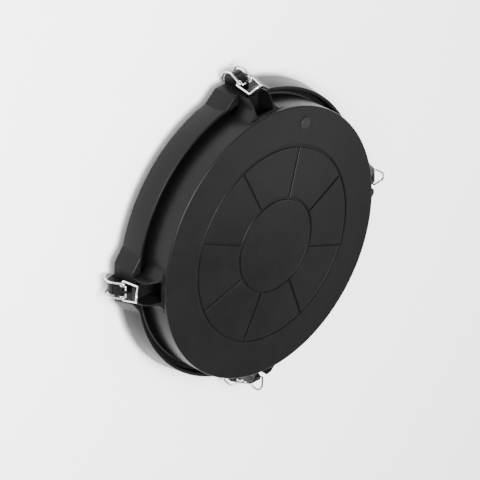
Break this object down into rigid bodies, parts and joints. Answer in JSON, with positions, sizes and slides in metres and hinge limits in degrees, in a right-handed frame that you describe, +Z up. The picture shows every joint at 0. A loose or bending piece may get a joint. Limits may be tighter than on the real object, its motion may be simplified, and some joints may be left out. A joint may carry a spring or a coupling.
{
  "type": "manhole cover",
  "caption": "Round domed inspection hatch cover on a flanged neck ring, held shut by wire lever latches round its rim.",
  "frame": {"origin": "centre of the neck's lower edge, on the hatch's axis", "axes": "+Z up along the hatch's axis, from the neck to the crown of the cover; +X and +Y point to two of the four latches"},
  "size_m": [0.6212, 0.6212, 0.1308],
  "materials": {
    "black_moulding": "satin moulded black plastic",
    "pivot_block_moulding": "satin moulded black plastic, a little darker",
    "seal_rubber": "matt black rubber",
    "grey_plug": "satin dark grey plastic",
    "stainless_wire": "bright polished stainless wire",
    "stainless_screw": "plain stainless"
  },
  "bodies": {
    "neck": {"neck_ring": "black_moulding", "seal_ring": "seal_rubber", "pivot_block_1": "pivot_block_moulding", "pivot_block_2": "pivot_block_moulding", "pivot_block_3": "pivot_block_moulding", "pivot_block_4": "pivot_block_moulding", "block_screw_1a": "stainless_screw", "block_screw_1b": "stainless_screw", "block_screw_2a": "stainless_screw", "block_screw_2b": "stainless_screw", "block_screw_3a": "stainless_screw", "block_screw_3b": "stainless_screw", "block_screw_4a": "stainless_screw", "block_screw_4b": "stainless_screw"},
    "cover": {"cover": "black_moulding", "vent_plug": "grey_plug", "vent_plug_seal": "seal_rubber"},
    "lever_1": {"latch_lever_1": "stainless_wire"},
    "bail_1": {"latch_bail_1": "stainless_wire"},
    "lever_2": {"latch_lever_2": "stainless_wire"},
    "bail_2": {"latch_bail_2": "stainless_wire"},
    "lever_3": {"latch_lever_3": "stainless_wire"},
    "bail_3": {"latch_bail_3": "stainless_wire"},
    "lever_4": {"latch_lever_4": "stainless_wire"},
    "bail_4": {"latch_bail_4": "stainless_wire"}
  },
  "joints": [
    {"name": "cover_lift", "type": "slide", "parent": "neck", "child": "cover", "axis": [0, 0, 1], "range_m": [0, 0.03]},
    {"name": "lever_1_swing", "type": "hinge", "parent": "neck", "child": "lever_1", "pos_m": [0.2935, 0, 0.0595], "axis": [0, -1, 0], "range_deg": [0, 105.5]},
    {"name": "bail_1_swing", "type": "hinge", "parent": "lever_1", "child": "bail_1", "pos_m": [0.294, 0, 0.0523], "axis": [0, -1, 0], "range_deg": [-126.5, 0]},
    {"name": "lever_2_swing", "type": "hinge", "parent": "neck", "child": "lever_2", "pos_m": [0, 0.2935, 0.0595], "axis": [1, 0, 0], "range_deg": [0, 105.5]},
    {"name": "bail_2_swing", "type": "hinge", "parent": "lever_2", "child": "bail_2", "pos_m": [0, 0.294, 0.0523], "axis": [1, 0, 0], "range_deg": [-126.5, 0]},
    {"name": "lever_3_swing", "type": "hinge", "parent": "neck", "child": "lever_3", "pos_m": [-0.2935, 0, 0.0595], "axis": [0, 1, 0], "range_deg": [0, 105.5]},
    {"name": "bail_3_swing", "type": "hinge", "parent": "lever_3", "child": "bail_3", "pos_m": [-0.294, 0, 0.0523], "axis": [0, 1, 0], "range_deg": [-126.5, 0]},
    {"name": "lever_4_swing", "type": "hinge", "parent": "neck", "child": "lever_4", "pos_m": [0, -0.2935, 0.0595], "axis": [-1, 0, 0], "range_deg": [0, 105.5]},
    {"name": "bail_4_swing", "type": "hinge", "parent": "lever_4", "child": "bail_4", "pos_m": [0, -0.294, 0.0523], "axis": [-1, 0, 0], "range_deg": [-126.5, 0]}
  ],
  "couplings": [
    {"joint": "lever_1_swing", "follows": "cover_lift", "rad_per_m": 61.087},
    {"joint": "bail_1_swing", "follows": "cover_lift", "rad_per_m": -73.304},
    {"joint": "lever_2_swing", "follows": "cover_lift", "rad_per_m": 61.087},
    {"joint": "bail_2_swing", "follows": "cover_lift", "rad_per_m": -73.304},
    {"joint": "lever_3_swing", "follows": "cover_lift", "rad_per_m": 61.087},
    {"joint": "bail_3_swing", "follows": "cover_lift", "rad_per_m": -73.304},
    {"joint": "lever_4_swing", "follows": "cover_lift", "rad_per_m": 61.087},
    {"joint": "bail_4_swing", "follows": "cover_lift", "rad_per_m": -73.304}
  ]
}
